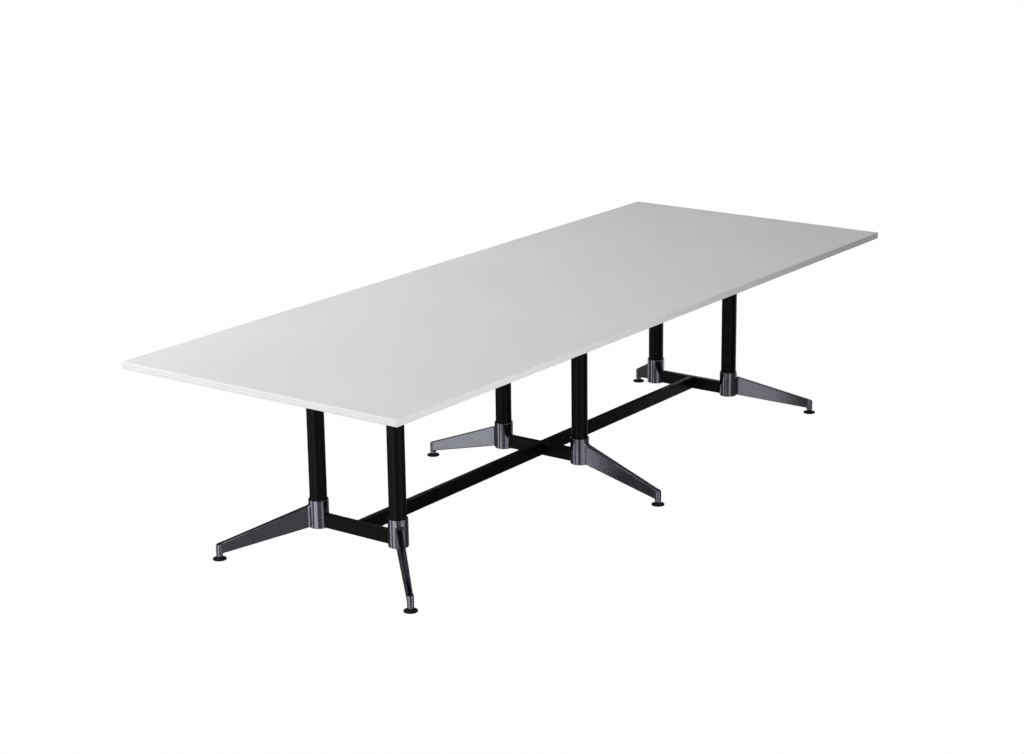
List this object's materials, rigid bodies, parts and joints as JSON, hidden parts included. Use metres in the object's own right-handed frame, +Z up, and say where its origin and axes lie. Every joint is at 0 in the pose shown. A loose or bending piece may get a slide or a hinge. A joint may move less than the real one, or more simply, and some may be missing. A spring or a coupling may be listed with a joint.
{
  "type": "conference table",
  "caption": "Long rectangular conference table with a pale two-piece top on paired black posts, polished cast legs with tapered arms, a tie beam and screw levelling feet.",
  "frame": {"origin": "on the floor under the middle of the top", "axes": "+X along the table, +Y across it, +Z up"},
  "size_m": [3.2, 1.2, 0.755],
  "materials": {
    "board": "particle board faced with pale grey-white melamine, satin",
    "edging": "pale plastic edging",
    "black_paint": "black powder coat, satin",
    "polished_cast": "cast and mirror polished",
    "zinc_steel": "zinc plated",
    "black_nylon": "moulded black nylon",
    "beech": "plain beech"
  },
  "bodies": {
    "table": {"top_board_near": "board", "edging_end_near": "edging", "edging_left_near": "edging", "edging_right_near": "edging", "beam_near": "black_paint", "top_board_far": "board", "edging_end_far": "edging", "edging_left_far": "edging", "edging_right_far": "edging", "beam_far": "black_paint", "dowel_left": "beech", "dowel_mid": "beech", "dowel_right": "beech", "seam_plate_left": "zinc_steel", "seam_plate_right": "zinc_steel", "cross_rail_near": "black_paint", "cross_rail_mid": "black_paint", "cross_rail_far": "black_paint", "post_near_left": "black_paint", "mounting_plate_near_left": "black_paint", "leg_near_left": "polished_cast", "post_bolt_near_left": "zinc_steel", "rail_screw_near_left": "zinc_steel", "post_near_right": "black_paint", "mounting_plate_near_right": "black_paint", "leg_near_right": "polished_cast", "post_bolt_near_right": "zinc_steel", "rail_screw_near_right": "zinc_steel", "post_mid_left": "black_paint", "mounting_plate_mid_left": "black_paint", "leg_mid_left": "polished_cast", "post_bolt_mid_left": "zinc_steel", "rail_screw_mid_left": "zinc_steel", "post_mid_right": "black_paint", "mounting_plate_mid_right": "black_paint", "leg_mid_right": "polished_cast", "post_bolt_mid_right": "zinc_steel", "rail_screw_mid_right": "zinc_steel", "post_far_left": "black_paint", "mounting_plate_far_left": "black_paint", "leg_far_left": "polished_cast", "post_bolt_far_left": "zinc_steel", "rail_screw_far_left": "zinc_steel", "post_far_right": "black_paint", "mounting_plate_far_right": "black_paint", "leg_far_right": "polished_cast", "post_bolt_far_right": "zinc_steel", "rail_screw_far_right": "zinc_steel"},
    "pad_near_left": {"foot_pad_near_left": "black_nylon"},
    "screw_near_left": {"foot_screw_near_left": "zinc_steel"},
    "pad_near_right": {"foot_pad_near_right": "black_nylon"},
    "screw_near_right": {"foot_screw_near_right": "zinc_steel"},
    "pad_mid_left": {"foot_pad_mid_left": "black_nylon"},
    "screw_mid_left": {"foot_screw_mid_left": "zinc_steel"},
    "pad_mid_right": {"foot_pad_mid_right": "black_nylon"},
    "screw_mid_right": {"foot_screw_mid_right": "zinc_steel"},
    "pad_far_left": {"foot_pad_far_left": "black_nylon"},
    "screw_far_left": {"foot_screw_far_left": "zinc_steel"},
    "pad_far_right": {"foot_pad_far_right": "black_nylon"},
    "screw_far_right": {"foot_screw_far_right": "zinc_steel"}
  },
  "joints": [
    {"name": "foot_near_left_travel", "type": "slide", "parent": "table", "child": "pad_near_left", "axis": [0, 0, -1], "range_m": [0, 0.012]},
    {"name": "foot_near_left_turn", "type": "hinge", "parent": "pad_near_left", "child": "screw_near_left", "pos_m": [-1.35102, 0.43102, 0.015], "axis": [0, 0, -1], "range_deg": [0, 2880]},
    {"name": "foot_near_right_travel", "type": "slide", "parent": "table", "child": "pad_near_right", "axis": [0, 0, -1], "range_m": [0, 0.012]},
    {"name": "foot_near_right_turn", "type": "hinge", "parent": "pad_near_right", "child": "screw_near_right", "pos_m": [-1.35102, -0.43102, 0.015], "axis": [0, 0, -1], "range_deg": [0, 2880]},
    {"name": "foot_mid_left_travel", "type": "slide", "parent": "table", "child": "pad_mid_left", "axis": [0, 0, -1], "range_m": [0, 0.012]},
    {"name": "foot_mid_left_turn", "type": "hinge", "parent": "pad_mid_left", "child": "screw_mid_left", "pos_m": [0, 0.535, 0.015], "axis": [0, 0, -1], "range_deg": [0, 2880]},
    {"name": "foot_mid_right_travel", "type": "slide", "parent": "table", "child": "pad_mid_right", "axis": [0, 0, -1], "range_m": [0, 0.012]},
    {"name": "foot_mid_right_turn", "type": "hinge", "parent": "pad_mid_right", "child": "screw_mid_right", "pos_m": [0, -0.535, 0.015], "axis": [0, 0, -1], "range_deg": [0, 2880]},
    {"name": "foot_far_left_travel", "type": "slide", "parent": "table", "child": "pad_far_left", "axis": [0, 0, -1], "range_m": [0, 0.012]},
    {"name": "foot_far_left_turn", "type": "hinge", "parent": "pad_far_left", "child": "screw_far_left", "pos_m": [1.35102, 0.43102, 0.015], "axis": [0, 0, -1], "range_deg": [0, 2880]},
    {"name": "foot_far_right_travel", "type": "slide", "parent": "table", "child": "pad_far_right", "axis": [0, 0, -1], "range_m": [0, 0.012]},
    {"name": "foot_far_right_turn", "type": "hinge", "parent": "pad_far_right", "child": "screw_far_right", "pos_m": [1.35102, -0.43102, 0.015], "axis": [0, 0, -1], "range_deg": [0, 2880]}
  ],
  "couplings": [
    {"joint": "foot_near_left_turn", "follows": "foot_near_left_travel", "rad_per_m": 4188.8},
    {"joint": "foot_near_right_turn", "follows": "foot_near_right_travel", "rad_per_m": 4188.8},
    {"joint": "foot_mid_left_turn", "follows": "foot_mid_left_travel", "rad_per_m": 4188.8},
    {"joint": "foot_mid_right_turn", "follows": "foot_mid_right_travel", "rad_per_m": 4188.8},
    {"joint": "foot_far_left_turn", "follows": "foot_far_left_travel", "rad_per_m": 4188.8},
    {"joint": "foot_far_right_turn", "follows": "foot_far_right_travel", "rad_per_m": 4188.8}
  ]
}
